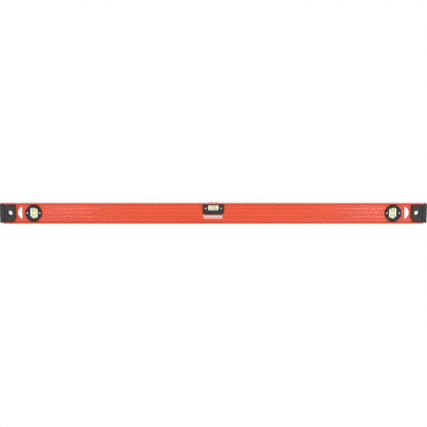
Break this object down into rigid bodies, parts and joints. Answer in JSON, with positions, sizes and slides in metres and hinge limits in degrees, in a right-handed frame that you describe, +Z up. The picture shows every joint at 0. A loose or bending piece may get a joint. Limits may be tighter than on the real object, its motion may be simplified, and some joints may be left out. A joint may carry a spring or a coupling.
{
  "type": "spirit level",
  "caption": "I-beam spirit level with a top-read level vial, a plumb vial near each end, moulded end caps with hang holes and D-shaped hand slots.",
  "frame": {"origin": "middle of the lower working face, on the floor when the level stands on it", "axes": "+X along the rail, the front with the screw heads faces -Y, +Z up to the upper working face"},
  "size_m": [1.2192, 0.0254, 0.0603],
  "materials": {
    "rail_enamel": "red enamel, semi-gloss, over extruded aluminium; working faces milled bare",
    "cap_rubber": "moulded, matt black",
    "housing_black": "moulded ABS, fine matt texture",
    "clear_pane": "clear polished acrylic",
    "vial_acrylic": "clear polished acrylic",
    "plug_white": "moulded, satin",
    "ring_black": "printed ring",
    "spirit": "clear yellow-green liquid",
    "bubble": "clear",
    "screw_zinc": "zinc plated"
  },
  "bodies": {
    "level": {"rail": "rail_enamel", "end_cap_left": "cap_rubber", "end_cap_right": "cap_rubber", "plumb_left_front_housing": "housing_black", "plumb_left_rear_housing": "housing_black", "plumb_left_front_lens": "clear_pane", "plumb_left_rear_lens": "clear_pane", "plumb_left_vial": "vial_acrylic", "plumb_left_vial_plug": "plug_white", "plumb_left_gauge_rings": "ring_black", "plumb_left_spirit": "spirit", "plumb_left_screws": "screw_zinc", "plumb_right_front_housing": "housing_black", "plumb_right_rear_housing": "housing_black", "plumb_right_front_lens": "clear_pane", "plumb_right_rear_lens": "clear_pane", "plumb_right_vial": "vial_acrylic", "plumb_right_vial_plug": "plug_white", "plumb_right_gauge_rings": "ring_black", "plumb_right_spirit": "spirit", "plumb_right_screws": "screw_zinc", "level_front_housing": "housing_black", "level_rear_housing": "housing_black", "level_front_lens": "clear_pane", "level_rear_lens": "clear_pane", "level_vial": "vial_acrylic", "level_vial_plug": "plug_white", "level_gauge_rings": "ring_black", "level_spirit": "spirit", "level_screws": "screw_zinc"},
    "plumb_left_bubble": {"plumb_left_bubble": "bubble"},
    "plumb_right_bubble": {"plumb_right_bubble": "bubble"},
    "level_bubble": {"level_bubble": "bubble"}
  },
  "joints": [
    {"name": "plumb_left_bubble_slide", "type": "slide", "parent": "level", "child": "plumb_left_bubble", "axis": [0, 0, 1], "range_m": [-0.0188, 0], "stiffness_N_per_m": 60},
    {"name": "plumb_right_bubble_slide", "type": "slide", "parent": "level", "child": "plumb_right_bubble", "axis": [0, 0, 1], "range_m": [-0.0188, 0], "stiffness_N_per_m": 60},
    {"name": "level_bubble_slide", "type": "slide", "parent": "level", "child": "level_bubble", "axis": [1, 0, 0], "range_m": [-0.0096, 0.0096], "stiffness_N_per_m": 5}
  ]
}
